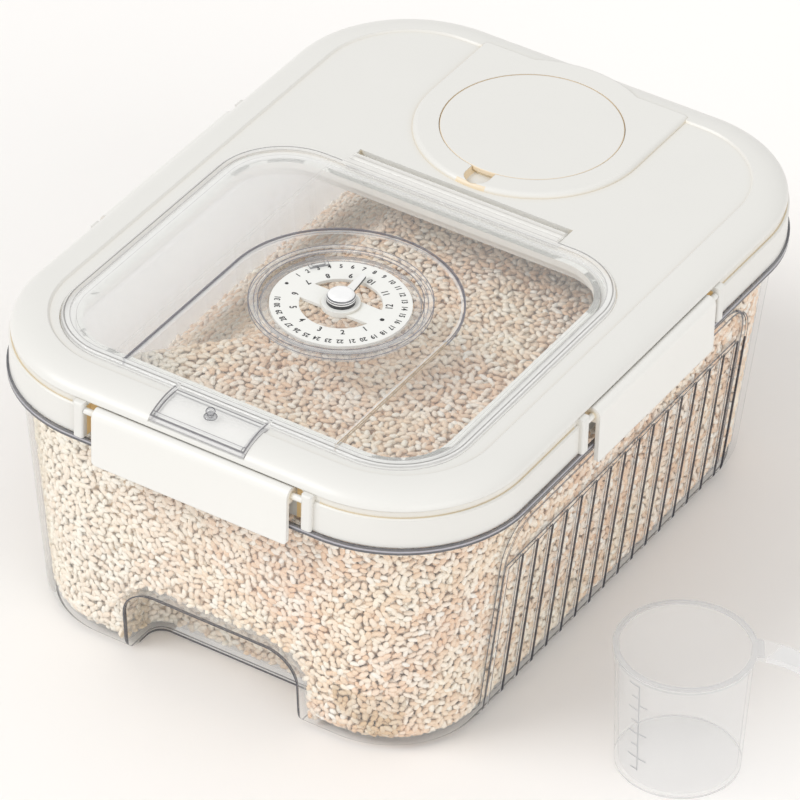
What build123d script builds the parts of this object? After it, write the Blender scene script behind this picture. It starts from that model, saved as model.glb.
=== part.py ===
from build123d import *
from math import cos, radians, sin, tan
import os

# Rice storage box: a clear tapered tub with a lift-off lid, a flip-up clear window with a date dial in it,
# four clips, a round storage cover, the rice it holds and the measuring cup that stands beside it.
# Millimetres, +Z up. The origin is the middle of the tub's flat underside. The front is -Y.

# ---- driving sizes: tub ----
flange_width = 270.0
flange_depth = 362.0
flange_corner = 68.0
flange_low = 131.8
flange_thick = 3.0
flange_overhang = 6.3
tub_draft = 5.3
tub_wall = 2.6
tub_floor = 3.0
tub_foot_round = 12.0
neck_inset = 2.0
neck_top = 145.0

grip_width = 96.0
grip_height = 43.0
grip_depth = 25.0
grip_corner = 17.0
grip_inner_round = 8.0

panel_half_length = 111.0
panel_top = 114.5
panel_corner = 20.0
panel_sink = 0.8
rib_pitch = 13.2
rib_count = 16
rib_top = 91.0
rib_sink = 0.8

# ---- driving sizes: lid ----
skirt_inset = 1.2
skirt_gap = 0.3
lid_wall = 2.2
skirt_top = 151.0
groove_sink = 1.5
groove_height = 3.6
lip_overhang = 0.7
shoulder_width = 18.0
crease_step = 1.0
panel_level = 161.2
gasket_width = 5.4
gasket_height = 3.4
gasket_spare = 0.4
seat_clearance = 0.3
locating_rib = 2.0
locating_rib_drop = 6.0
locating_gap = 0.7

# ---- driving sizes: window ----
window_half_width = 107.6
window_front = -156.0
window_back = 39.7
window_corner = 38.3
window_gap = 0.4
window_bead = 4.6
window_bead_rise = 1.9
window_plate = 2.0
window_sink = 2.7
window_land = 7.0
opening_wall_drop = 10.2
tongue_half_width = 57.5
tongue_sink = 0.8
seal_width = 3.0
seal_height = 3.6

# ---- driving sizes: hinge of the window ----
hinge_half_length = 58.8
hinge_pin_y = 46.8
hinge_barrel = 3.4
hinge_drop = 0.8
hinge_pin = 1.5
pin_clearance = 0.05
pocket_gap = 0.5
pocket_back = 53.0

# ---- driving sizes: pull tab at the front of the window ----
tab_half_width = 25.5
tab_front = -177.5
tab_thick = 2.0
tab_wall = 1.6
tab_wall_rise = 1.3
tab_lip = 2.6

# ---- driving sizes: date dial ----
dial_y = -57.0
dial_well = 38.4
dial_rim = 43.4
dial_rim_rise = 0.7
dial_well_sink = 3.6
dial_plate_radius = 33.4
dial_plate_thick = 1.6
dial_slot_radius = 19.5
dial_hub_radius = 9.2
dial_hub_rise = 1.2
dial_spoke = 12.5
day_ring_inner = 34.0
day_ring_outer = 37.6
day_ring_thick = 1.6
marker_half_width = 4.8
marker_reach = 4.2
marker_thick = 1.0
marker_turn = 142.0
stem_radius = 2.0
pointer_hub_radius = 6.9
pointer_length = 23.5
pointer_turn = 94.0
knob_height = 5.2
retainer_radius = 4.6
retainer_thick = 1.2
dial_clearance = 0.1

# ---- driving sizes: clips ----
clip_half_length = 53.0
clip_outset = 3.0
clip_thick = 2.2
clip_low = 124.0
clip_axis_z = 150.0
clip_barrel = 4.0
clip_pin = 1.6
clip_end_gap = 6.0
clip_pin_seat = 2.6
clip_nib = 0.75
boss_width = 5.4
boss_rise = 2.4
pocket_floor_inset = 5.8
pocket_wall = 2.0

# ---- driving sizes: storage well at the back ----
store_from_rear = 67.5
plateau_radius = 58.0
plateau_rise = 2.2
plateau_round = 2.9
cover_lip = 2.7
cover_gap = 0.35
cover_thick = 2.4
cover_plug_gap = 0.4
cover_plug_wall = 1.6
cover_plug_drop = 5.0
store_well_radius = 42.0
store_floor = 138.0
store_wall = 2.0
store_ledge = 5.0
basket_wall = 1.4
basket_height = 12.0
basket_hole = 2.4
basket_hole_pitch = 11.0
store_seal = 1.2
notch_half_width = 6.6
notch_reach = 56.6
notch_depth = 3.6
notch_floor_round = 2.4

# ---- driving sizes: rice and measuring cup ----
rice_gap = 0.3
rice_top = 127.5
rice_crest_x = -42.0
rice_wall_level = 58.0
rice_slope_front = -158.0
rice_slope_full = -60.0

cup_x = 205.0
cup_y = -82.0
cup_base_radius = 29.5
cup_rim_radius = 32.0
cup_height = 67.0
cup_wall = 1.6
cup_floor = 2.0
cup_bead = 1.2
cup_handle_turn = 31.0
cup_handle_reach = 24.0
cup_handle_width = 13.0
cup_handle_thick = 2.6
cup_handle_droop = 9.0

# ---- sizes that follow ----
flange_top = flange_low + flange_thick
half_x = flange_width / 2
half_y = flange_depth / 2
wall_half_x = half_x - flange_overhang
wall_half_y = half_y - flange_overhang
wall_corner = flange_corner - flange_overhang
draft_run = flange_low * tan(radians(tub_draft))
skirt_half_x = half_x - skirt_inset
skirt_half_y = half_y - skirt_inset
skirt_corner = flange_corner - skirt_inset
skirt_low = flange_top + skirt_gap
neck_half_x = wall_half_x - neck_inset
neck_half_y = wall_half_y - neck_inset
neck_corner = wall_corner - neck_inset
gasket_low = neck_top + seat_clearance
gasket_high = gasket_low + gasket_height
under_panel = panel_level - lid_wall
window_top = panel_level + window_bead_rise
window_ledge = panel_level - window_sink
window_low = window_ledge + seat_clearance
plate_low = panel_level - window_plate / 2
plate_top = plate_low + window_plate
window_mid_y = (window_front + window_back) / 2
window_half_depth = (window_back - window_front) / 2
opening_low = panel_level - opening_wall_drop
hinge_z = window_top - hinge_barrel - hinge_drop
well_floor_top = plate_top - dial_well_sink
well_floor_low = well_floor_top - window_plate
dial_low = well_floor_top + dial_clearance
dial_top = dial_low + dial_plate_thick
plateau_top = panel_level + plateau_rise
store_y = half_y - store_from_rear
cover_radius = store_well_radius + cover_lip
cover_plug_radius = store_well_radius - cover_plug_gap
cover_low = plateau_top - cover_thick


def slab(half_w, half_d, corner, low, high, y=0.0):
    """A rounded rectangle standing from one height to another."""
    return Pos(0, y, low) * extrude(RectangleRounded(2 * half_w, 2 * half_d, corner), amount=high - low)


def disc(radius, low, high, x=0.0, y=0.0):
    """A round slab between two heights."""
    return Pos(x, y, low) * extrude(Circle(radius), amount=high - low)


def box_between(x0, x1, y0, y1, z0, z1):
    """A plain block given by its limits."""
    return Pos((x0 + x1) / 2, (y0 + y1) / 2, (z0 + z1) / 2) * Box(x1 - x0, y1 - y0, z1 - z0)


def frame_of(half_w, half_d, corner, width, low, high, y=0.0):
    """A rounded rectangular ring, given by its outside and its width."""
    inside = slab(half_w - width, half_d - width, corner - width, low - 1, high + 1, y)
    return slab(half_w, half_d, corner, low, high, y) - inside


def carry_round(section, along_x, along_y):
    """Carry an XZ section round a rounded rectangle; its x is measured from the corner's centre."""
    pieces = []
    stations = [(along_x, -along_y, 2 * along_y), (along_x, along_y, 2 * along_x),
                (-along_x, along_y, 2 * along_y), (-along_x, -along_y, 2 * along_x)]
    for quarter, (x, y, run) in enumerate(stations):
        turned = Pos(x, y, 0) * Rot(0, 0, 90 * quarter) * section
        heading = radians(90 * quarter + 90)
        pieces.append(extrude(turned, amount=run, dir=(cos(heading), sin(heading), 0)))
        end_x = x + run * cos(heading)
        end_y = y + run * sin(heading)
        at_end = Pos(end_x, end_y, 0) * Rot(0, 0, 90 * quarter) * section
        pieces.append(revolve(at_end, Axis((end_x, end_y, 0), (0, 0, 1)), revolution_arc=90))
    return pieces[0] + pieces[1:]


def wall_inset(z):
    """How far the tub's drafted wall has come in at a height."""
    return (flange_low - z) * tan(radians(tub_draft))


def drafted(inset, low):
    """The tub's tapered body, set in by a wall, from the flange down to a height."""
    sketch = RectangleRounded(2 * (wall_half_x - inset), 2 * (wall_half_y - inset), wall_corner - inset)
    depth = flange_low - low
    return Pos(0, 0, flange_low) * extrude(Rot(180, 0, 0) * sketch, amount=depth, taper=tub_draft)


def round_foot(body, low, radius):
    """Round the lowest edge loop of a tapered body."""
    return fillet(body.faces().sort_by(Axis.Z)[0].edges(), radius)


def grip_block(grow):
    """The hand grip's hollow at the front, grown by a wall on its closed sides."""
    wall_front = -(wall_half_y - draft_run)
    back = wall_front + grip_depth + grow
    half = grip_width / 2 + grow
    front = -wall_half_y - 5
    low = -5.0
    high = grip_height + grow
    body = box_between(-half, half, front, back, low, high)
    top_corners = [e for e in body.edges().filter_by(Axis.Y) if e.center().Z > grip_height / 2]
    body = fillet(top_corners, grip_corner + grow)
    inner = [e for e in body.edges().filter_by(Axis.Z) if e.center().Y > back - 1]
    return fillet(inner, grip_inner_round + grow)


def side_panel():
    """The right side panel's cutters: the sunk field and its upright slats, each leaning to a step."""
    lean = Rot(0, tub_draft, 0)
    run = panel_top * 2
    field = RectangleRounded(run, 2 * panel_half_length, panel_corner)
    top_x = wall_half_x - wall_inset(panel_top)
    place = Pos(top_x, 0, panel_top) * lean
    cutter = place * Pos(-panel_sink, 0, -run / 2) * extrude(Plane.YZ * Rot(0, 0, 90) * field, amount=12)
    cuts = [cutter]
    head = (panel_top - rib_top) / cos(radians(tub_draft))
    for index in range(rib_count):
        near = (index - rib_count / 2) * rib_pitch
        far = near + rib_pitch
        slat = make_face(Polyline((12, near), (-panel_sink, near), (-panel_sink - rib_sink, far), (12, far),
                                  close=True))
        cuts.append(place * Pos(0, 0, -run) * extrude(slat, amount=run - head))
    return cuts


def make_container():
    outer = round_foot(drafted(0, 0), 0, tub_foot_round)
    for turn in (0, 180):
        outer -= Rot(0, 0, turn) * grip_block(0)
    for turn in (0, 180):
        for cutter in side_panel():
            outer -= Rot(0, 0, turn) * cutter
    outer += slab(half_x, half_y, flange_corner, flange_low, flange_top)
    outer += slab(neck_half_x, neck_half_y, neck_corner, flange_low, neck_top)
    hollow = round_foot(drafted(tub_wall, tub_floor), tub_floor, tub_foot_round - tub_wall)
    for turn in (0, 180):
        hollow -= Rot(0, 0, turn) * grip_block(tub_wall)
    hollow += slab(neck_half_x - tub_wall, neck_half_y - tub_wall, neck_corner - tub_wall,
                   flange_low - 0.01, neck_top + 1)
    return outer - hollow


def make_rice():
    """The rice, level at the front and right and scooped away down the left wall."""
    body = drafted(tub_wall + rice_gap, tub_floor + rice_gap)
    body = round_foot(body, tub_floor, tub_foot_round - tub_wall)
    for turn in (0, 180):
        body -= Rot(0, 0, turn) * grip_block(tub_wall + rice_gap)
    body -= box_between(-half_x, half_x, -half_y, half_y, rice_top, flange_top + 10)
    far = -half_x
    slope = (rice_top - rice_wall_level) / (rice_crest_x + wall_half_x)
    far_level = rice_top - slope * (rice_crest_x - far)
    over = rice_top + 20

    def slice_at(y, share):
        crest = far + (rice_crest_x - far) * share
        low = rice_top - (rice_top - far_level) * share
        points = [(crest, y, rice_top), (far, y, low), (far, y, over), (crest, y, over)]
        return make_face(Polyline(*points, close=True))

    near = slice_at(rice_slope_front, 0.06)
    full = slice_at(rice_slope_full, 1.0)
    back = slice_at(half_y, 1.0)
    body -= loft([near, full])
    return body - loft([full, back])


def lid_section(low):
    """Half of the lid's edge, cut square to it: the skirt, the groove and the swelling shoulder."""
    u = skirt_corner
    ledge = skirt_top + groove_height
    lip = u - groove_sink + lip_overhang
    end = u - shoulder_width
    crest = panel_level + crease_step
    swell = EllipticalCenterArc((end, ledge), lip - end, crest - ledge, start_angle=0, arc_size=90)
    outside = Polyline((u, low), (u, skirt_top - 0.8), (u - 0.8, skirt_top), (u - groove_sink, skirt_top),
                       (u - groove_sink, ledge), (lip, ledge))
    under_lip = u - groove_sink - lid_wall
    inside = Polyline((end, crest), (end - 1.0, panel_level), (end - 3, panel_level), (end - 3, under_panel),
                      (u - shoulder_width * 0.5, under_panel - 0.8), (under_lip - 1.2, ledge - 0.6),
                      (under_lip, skirt_top - 2.2), (u - lid_wall, skirt_top - 4.2),
                      (u - lid_wall, low), (u, low))
    return Plane.XZ * make_face(outside + swell + inside)


def on_side(index):
    """Placement that turns a front-facing piece to one of the four sides: front, right, rear, left."""
    return Rot(0, 0, 90 * index)


def side_reach(index):
    """How far the flange's edge stands from the middle on that side."""
    return half_y if index % 2 == 0 else half_x


def clip_pocket(reach):
    """The pocket in the lid's skirt that a clip swings in, as a cutter."""
    half = clip_half_length + clip_end_gap
    floor_y = -(reach - pocket_floor_inset)
    body = box_between(-half, half, -reach - 10, floor_y, skirt_low - 5, clip_axis_z + clip_barrel + 0.3)
    corners = [e for e in body.edges().filter_by(Axis.Y) if e.center().Z > clip_axis_z]
    return fillet(corners, 3.5)


def clip_backing(reach):
    """The wall behind the pocket and the two bosses that hold the clip's pins."""
    half = clip_half_length + clip_end_gap
    floor_y = -(reach - pocket_floor_inset)
    wall = box_between(-half - pocket_wall, half + pocket_wall, floor_y, floor_y + pocket_wall,
                       skirt_low, clip_axis_z + clip_barrel + 2.0)
    bosses = []
    face_y = -(reach - skirt_inset) - boss_rise
    for side in (-1, 1):
        inner = side * half
        outer = side * (half + boss_width)
        boss = box_between(min(inner, outer), max(inner, outer), face_y, floor_y + pocket_wall,
                           skirt_low, skirt_top + groove_height - 0.2)
        edges = [e for e in boss.edges() if e.center().Y < face_y + 0.1 and e.center().Z > skirt_low + 1]
        bosses.append(fillet(edges, 1.3))
    return [wall] + bosses


def clip_axis_y(reach):
    return -(reach + clip_outset) + clip_barrel


def clip_pin_holes(reach):
    half = clip_half_length + clip_end_gap
    holes = []
    for side in (-1, 1):
        length = clip_pin_seat + 0.4
        start = side * (half - 0.01)
        middle = start + side * length / 2
        hole = Cylinder(clip_pin + pin_clearance, length)
        holes.append(Pos(middle, clip_axis_y(reach), clip_axis_z) * Rot(0, 90, 0) * hole)
    return holes


def make_clip(index):
    reach = side_reach(index)
    face_y = -(reach + clip_outset)
    axis_y = clip_axis_y(reach)
    flap = box_between(-clip_half_length, clip_half_length, face_y, face_y + clip_thick,
                       clip_low, clip_axis_z)
    flap = fillet([e for e in flap.edges().filter_by(Axis.Y) if e.center().Z < clip_low + 1], 2.0)
    barrel = Pos(0, axis_y, clip_axis_z) * Rot(0, 90, 0) * Cylinder(clip_barrel, 2 * clip_half_length)
    pin_half = clip_half_length + clip_end_gap + clip_pin_seat
    pin = Pos(0, axis_y, clip_axis_z) * Rot(0, 90, 0) * Cylinder(clip_pin, 2 * pin_half)
    nib_top = flange_low - 0.4
    nib_y = face_y + clip_thick
    nib_tip = nib_y + clip_nib
    nib_section = make_face(Polyline((nib_y - 0.2, nib_top), (nib_tip, nib_top - 0.8),
                                     (nib_tip, nib_top - 2.2), (nib_y - 0.2, nib_top - 5), close=True))
    nib_half = clip_half_length - 6
    nib = Pos(-nib_half, 0, 0) * extrude(Plane.YZ * nib_section, amount=2 * nib_half)
    return on_side(index) * (flap + barrel + pin + nib)


def make_lid():
    lid = carry_round(lid_section(skirt_low), skirt_half_x - skirt_corner, skirt_half_y - skirt_corner)
    top_half_x = skirt_half_x - shoulder_width
    top_half_y = skirt_half_y - shoulder_width
    top_corner = skirt_corner - shoulder_width
    lid += slab(top_half_x - 2, top_half_y - 2, top_corner - 2, under_panel, panel_level)
    # Ribs under the shoulder that hold the gasket over the tub's neck.
    half_w = neck_half_x + gasket_spare
    half_d = neck_half_y + gasket_spare
    seat_low = gasket_high + seat_clearance
    lid += frame_of(half_w, half_d, neck_corner + gasket_spare, gasket_width, seat_low, under_panel + 0.6)
    rib_x = neck_half_x - tub_wall - locating_gap
    rib_y = neck_half_y - tub_wall - locating_gap
    rib_corner = neck_corner - tub_wall - locating_gap
    lid += frame_of(rib_x, rib_y, rib_corner, locating_rib, neck_top - locating_rib_drop, under_panel + 0.6)
    # The plateau round the storage cover, open to the rear shoulder.
    edge_y = skirt_half_y - shoulder_width
    plateau = extrude(Circle(plateau_radius), amount=plateau_rise + 1)
    run = edge_y - store_y + 2.0
    tail = Pos(0, run / 2, 0) * extrude(Rectangle(2 * plateau_radius, run), amount=plateau_rise + 1)
    raised = plateau + tail
    top_loop = raised.faces().sort_by(Axis.Z)[-1].edges()
    top_loop = [e for e in top_loop if e.center().Y < run - 0.5]
    raised = fillet(top_loop, plateau_round)
    lid += Pos(0, store_y, panel_level - 1) * raised
    # The storage well with a ledge for its basket.
    lid += disc(store_well_radius + store_wall, store_floor, panel_level, 0, store_y)
    lid -= disc(store_well_radius, store_floor + store_wall, plateau_top + 1, 0, store_y)
    lid -= disc(store_well_radius - store_ledge, store_floor - 1, store_floor + store_wall + 1, 0, store_y)
    lid -= disc(cover_radius + cover_gap, cover_low - seat_clearance, plateau_top + 1, 0, store_y)
    notch_low = plateau_top - notch_depth
    notch_middle = notch_reach - notch_half_width
    notch = Pos(0, -notch_middle) * Circle(notch_half_width)
    notch += Pos(0, -notch_middle / 2) * Rectangle(2 * notch_half_width, notch_middle)
    scoop = Pos(0, store_y, notch_low) * extrude(notch, amount=notch_depth + 1)
    scoop = fillet(scoop.faces().sort_by(Axis.Z)[0].edges(), notch_floor_round)
    keep = disc(store_well_radius + store_wall, notch_low - 1, plateau_top + 2, 0, store_y)
    lid -= scoop - keep
    # The window's opening: an outer wall, a ledge and a wall that hangs down inside.
    rim_x = window_half_width + window_gap
    rim_y = window_half_depth + window_gap
    rim_r = window_corner + window_gap
    lid += slab(rim_x + lid_wall, rim_y + lid_wall, rim_r + lid_wall, window_ledge - lid_wall,
                under_panel + 0.5, window_mid_y)
    hang_x = window_half_width - window_land + lid_wall
    hang_y = window_half_depth - window_land + lid_wall
    hang_r = window_corner - window_land + lid_wall
    lid += slab(hang_x, hang_y, hang_r, opening_low, window_ledge, window_mid_y)
    # The hinge's pocket behind the window, with solid ends for the pin.
    pocket_low = hinge_z - hinge_barrel - pocket_gap
    pocket_half = hinge_half_length + pocket_gap
    lid += box_between(-pocket_half - 4, pocket_half + 4, window_back - 4, pocket_back + lid_wall,
                       pocket_low - lid_wall, under_panel + 0.5)
    lid -= slab(rim_x, rim_y, rim_r, window_ledge, panel_level + 5, window_mid_y)
    lid -= slab(hang_x - lid_wall, hang_y - lid_wall, hang_r - lid_wall, opening_low - 1, panel_level + 5,
                window_mid_y)
    lid -= box_between(-pocket_half, pocket_half, window_back - 0.5, pocket_back, pocket_low, panel_level + 5)
    barrel_relief = Cylinder(hinge_barrel + pocket_gap, 2 * pocket_half)
    lid -= Pos(0, hinge_pin_y, hinge_z) * Rot(0, 90, 0) * barrel_relief
    pin_hole = Cylinder(hinge_pin + pin_clearance, 2 * pocket_half + 5)
    lid -= Pos(0, hinge_pin_y, hinge_z) * Rot(0, 90, 0) * pin_hole
    # The shallow recess under the pull tab.
    lid -= tab_body(0.5, 0.35) + Pos(0, -0.3, -0.35) * tab_body(0.5, 0)
    # The four clip pockets.
    for index in range(4):
        reach = side_reach(index)
        lid -= on_side(index) * clip_pocket(reach)
        for piece in clip_backing(reach):
            lid += on_side(index) * piece
        lid -= on_side(index) * clip_pocket(reach)
        for hole in clip_pin_holes(reach):
            lid -= on_side(index) * hole
    return lid


def tab_body(grow_side, grow_under):
    """The pull tab's plate, curving down over the shoulder; grown where it cuts its recess."""
    z = window_top - 0.4
    back = window_front + 2.0
    upper = [(back, z), (window_front - 8, z)]
    nose = (tab_front - grow_side, z - 5.6 - grow_under)
    under = tab_thick + grow_under
    line = Polyline((back, z - under), (back, z), (window_front - 8, z))
    line += ThreePointArc((window_front - 8, z), (window_front - 15.5, z - 1.5), (nose[0], nose[1] + 1.6))
    line += Polyline((nose[0], nose[1] + 1.6), nose, (nose[0] + 1.9, nose[1]))
    line += ThreePointArc((nose[0] + 1.9, nose[1]), (window_front - 14.6, z - 1.5 - under),
                          (window_front - 8, z - under))
    line += Line((window_front - 8, z - under), (back, z - under))
    section = Plane.YZ * make_face(line)
    half = tab_half_width + grow_side
    return Pos(-half, 0, 0) * extrude(section, amount=2 * half)


def make_window():
    bead_low = window_low
    window = slab(window_half_width, window_half_depth, window_corner, bead_low, window_top, window_mid_y)
    top_edges = window.faces().sort_by(Axis.Z)[-1].edges()
    window = fillet(top_edges, 1.5)
    inner_x = window_half_width - window_bead
    inner_y = window_half_depth - window_bead
    inner_r = window_corner - window_bead
    window -= slab(inner_x, inner_y, inner_r, plate_top, window_top + 1, window_mid_y)
    window -= slab(inner_x, inner_y, inner_r, bead_low - 1, plate_low, window_mid_y)
    # The tongue: a shallow sunk field from the front bead round the dial.
    tongue = disc(tongue_half_width, plate_top - tongue_sink, plate_top + 1, 0, dial_y)
    straight = box_between(-tongue_half_width, tongue_half_width, window_mid_y - inner_y, dial_y,
                           plate_top - tongue_sink, plate_top + 1)
    window -= tongue + straight
    # The dial's stepped well.
    window += disc(dial_rim, plate_low, plate_top + dial_rim_rise, 0, dial_y)
    window += disc(dial_well + window_plate, well_floor_low, plate_low + 0.1, 0, dial_y)
    window -= disc(dial_well, well_floor_top, plate_top + 5, 0, dial_y)
    window -= disc(dial_well + 2.4, plate_top, plate_top + 5, 0, dial_y)
    window -= disc(stem_radius + pin_clearance, well_floor_low - 1, well_floor_top + 1, 0, dial_y)
    # The hinge's tab and barrel.
    tab_low = window_top - 2.6
    window += box_between(-hinge_half_length, hinge_half_length, window_back - 3, hinge_pin_y,
                          tab_low, window_top)
    window += Pos(0, hinge_pin_y, hinge_z) * Rot(0, 90, 0) * Cylinder(hinge_barrel, 2 * hinge_half_length)
    bore = Cylinder(hinge_pin + pin_clearance, 2 * hinge_half_length + 2)
    window -= Pos(0, hinge_pin_y, hinge_z) * Rot(0, 90, 0) * bore
    # The pull tab: a tray with a raised wall on each side and a lip in front.
    raised = Pos(0, 0, tab_wall_rise) * tab_body(0, 0)
    inside_half = tab_half_width - tab_wall
    raised -= box_between(-inside_half, inside_half, tab_front + tab_lip, window_front + 5,
                          opening_low, window_top + 5)
    return window + tab_body(0, 0) + raised


def make_window_gasket():
    outside_x = window_half_width - window_land - window_gap
    outside_y = window_half_depth - window_land - window_gap
    outside_r = window_corner - window_land - window_gap
    low = plate_low - seal_height
    return frame_of(outside_x, outside_y, outside_r, seal_width, low, plate_low, window_mid_y)


def make_hinge_pin():
    length = 2 * (hinge_half_length + pocket_gap) + 4.4
    return Pos(0, hinge_pin_y, hinge_z) * Rot(0, 90, 0) * Cylinder(hinge_pin, length)


def make_lid_gasket():
    width = tub_wall + locating_gap + gasket_spare - seat_clearance
    return frame_of(neck_half_x + gasket_spare, neck_half_y + gasket_spare, neck_corner + gasket_spare,
                    width, gasket_low, gasket_high)


def make_storage_cover():
    cover = disc(cover_radius, cover_low, plateau_top, 0, store_y)
    cover = fillet(cover.faces().sort_by(Axis.Z)[-1].edges(), 0.6)
    plug = disc(cover_plug_radius, cover_low - cover_plug_drop, cover_low, 0, store_y)
    plug -= disc(cover_plug_radius - cover_plug_wall, cover_low - cover_plug_drop - 1, cover_low, 0, store_y)
    groove = disc(cover_plug_radius + 1, cover_low - 3.6, cover_low - 1.8, 0, store_y)
    groove -= disc(cover_plug_radius - 0.8, cover_low - 4, cover_low - 1, 0, store_y)
    return cover + (plug - groove)


def make_storage_seal():
    ring = disc(store_well_radius - 0.15, cover_low - 3.4, cover_low - 2.0, 0, store_y)
    return ring - disc(cover_plug_radius - 0.75, cover_low - 4, cover_low - 1, 0, store_y)


def make_storage_basket():
    low = store_floor + store_wall + seat_clearance
    outer = store_well_radius - 0.6
    basket = disc(outer, low, low + basket_height, 0, store_y)
    basket -= disc(outer - basket_wall, low + basket_wall, low + basket_height + 1, 0, store_y)
    steps = int((store_well_radius - store_ledge - basket_hole) // basket_hole_pitch)
    for row in range(-steps, steps + 1):
        for column in range(-steps, steps + 1):
            x = row * basket_hole_pitch
            y = column * basket_hole_pitch
            if (x * x + y * y) ** 0.5 < store_well_radius - store_ledge - basket_hole:
                basket -= disc(basket_hole, low - 1, low + basket_wall + 1, x, store_y + y)
    return basket


def make_dial_plate():
    plate = disc(dial_plate_radius, dial_low, dial_top, 0, dial_y)
    slot = disc(dial_slot_radius, dial_low - 1, dial_top + 1, 0, dial_y)
    slot -= box_between(-dial_slot_radius, dial_slot_radius, dial_y - dial_spoke / 2, dial_y + dial_spoke / 2,
                        dial_low - 2, dial_top + 2)
    slot -= disc(dial_hub_radius, dial_low - 2, dial_top + 2, 0, dial_y)
    plate -= slot
    plate += disc(dial_hub_radius, dial_low, dial_top + dial_hub_rise, 0, dial_y)
    return plate - disc(stem_radius + pin_clearance, dial_low - 1, dial_top + dial_hub_rise + 1, 0, dial_y)


def make_day_ring():
    low = well_floor_top + dial_clearance
    ring = disc(day_ring_outer, low, low + day_ring_thick, 0, dial_y)
    ring -= disc(day_ring_inner, low - 1, low + day_ring_thick + 1, 0, dial_y)
    marker_low = dial_top + dial_clearance * 2
    reach = day_ring_inner - marker_reach
    marker = box_between(reach, day_ring_outer, -marker_half_width, marker_half_width,
                         marker_low, marker_low + marker_thick)
    foot = box_between(day_ring_inner, day_ring_outer - 0.6, -marker_half_width, marker_half_width,
                       low, marker_low + marker_thick)
    window_cut = box_between(reach + 1.0, day_ring_inner - 0.4, -marker_half_width + 1.6,
                             marker_half_width - 1.6, marker_low - 1, marker_low + marker_thick + 1)
    marker = marker + foot - window_cut
    limit = disc(day_ring_outer, low - 1, marker_low + marker_thick + 1)
    return ring + Pos(0, dial_y, 0) * Rot(0, 0, marker_turn) * (marker & limit)


def make_pointer():
    low = dial_top + dial_hub_rise + dial_clearance
    hub = disc(pointer_hub_radius, low, low + 1.8)
    stem = disc(stem_radius, well_floor_low - retainer_thick - 0.6, low + 0.1)
    arm_low = low + 0.4
    outline = Polyline((0, 2.6), (pointer_length - 2, 1.5), (pointer_length, 0), (pointer_length - 2, -1.5),
                       (0, -2.6), close=True)
    arm = Pos(0, 0, arm_low) * extrude(make_face(outline), amount=1.2)
    return Pos(0, dial_y, 0) * Rot(0, 0, pointer_turn) * (hub + stem + arm)


def make_pointer_knob():
    low = dial_top + dial_hub_rise + dial_clearance + 1.8
    knob = disc(pointer_hub_radius, low, low + knob_height - 1.8, 0, dial_y)
    return fillet(knob.faces().sort_by(Axis.Z)[-1].edges(), 2.6)


def make_retainer():
    high = well_floor_low - dial_clearance
    washer = disc(retainer_radius, high - retainer_thick, high, 0, dial_y)
    return washer - disc(stem_radius + pin_clearance / 2, high - 3, high + 1, 0, dial_y)


def make_cup():
    lean = (cup_rim_radius - cup_base_radius) / cup_height

    def radius(z):
        return cup_base_radius + lean * z

    outline = [(0, 0), (cup_base_radius, 0), (radius(cup_height - 2.4), cup_height - 2.4),
               (radius(cup_height) + cup_bead, cup_height - 2.4), (radius(cup_height) + cup_bead, cup_height),
               (radius(cup_height) - cup_wall, cup_height), (radius(cup_floor) - cup_wall, cup_floor),
               (0, cup_floor)]
    section = make_face(Polyline(*[(x, 0, z) for x, z in outline], close=True))
    cup = revolve(section, Axis.Z, 360)
    start = cup_rim_radius - 0.5
    tip = cup_rim_radius + cup_handle_reach
    top = cup_height
    drop = cup_handle_droop
    line = ThreePointArc((start, 0, top), ((start + tip) / 2, 0, top - drop * 0.3), (tip, 0, top - drop))
    line += Line((tip, 0, top - drop), (tip - 1.2, 0, top - drop - cup_handle_thick))
    line += ThreePointArc((tip - 1.2, 0, top - drop - cup_handle_thick),
                          ((start + tip) / 2 - 0.6, 0, top - drop * 0.3 - cup_handle_thick),
                          (start, 0, top - cup_handle_thick))
    line += Line((start, 0, top - cup_handle_thick), (start, 0, top))
    handle = extrude(make_face(line), amount=cup_handle_width / 2, both=True)
    tip_edges = [e for e in handle.edges() if e.center().X > tip - 1.5 and abs(e.center().Y) > 4]
    handle = fillet([e for e in tip_edges if e.length < 2 * cup_handle_thick], 4.5)
    return Pos(cup_x, cup_y, 0) * Rot(0, 0, cup_handle_turn) * (cup + handle)


nodes = {
    "container_body": make_container(),
    "rice_fill": make_rice(),
    "lid_shell": make_lid(),
    "lid_gasket": make_lid_gasket(),
    "flip_window": make_window(),
    "window_gasket": make_window_gasket(),
    "window_hinge_pin": make_hinge_pin(),
    "storage_cover": make_storage_cover(),
    "storage_cover_seal": make_storage_seal(),
    "storage_basket": make_storage_basket(),
    "dial_plate": make_dial_plate(),
    "day_ring": make_day_ring(),
    "month_pointer": make_pointer(),
    "pointer_knob": make_pointer_knob(),
    "pointer_retainer": make_retainer(),
    "measuring_cup": make_cup(),
}
for clip_index, side_name in enumerate(("front", "right", "rear", "left")):
    nodes["clip_" + side_name] = make_clip(clip_index)

os.makedirs("parts", exist_ok=True)
for node_name, solid in nodes.items():
    export_step(solid, "parts/" + node_name + ".step")
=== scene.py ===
# %% [markdown]
# # A clear rice box with an ivory lid
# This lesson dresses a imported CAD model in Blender. The real object is an injection-moulded tub of clear
# plastic, full of rice, under an ivory lid. A clear window flips up from the lid, and a small date dial
# sits in it. The CAD pieces keep their shapes and get finishes here. The rice, the printed numbers and the
# cup's scale are made in this file, because they are too fine for a CAD model.

import math
from functools import reduce

import bmesh
import bpy
from mathutils import Matrix, Vector


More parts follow.
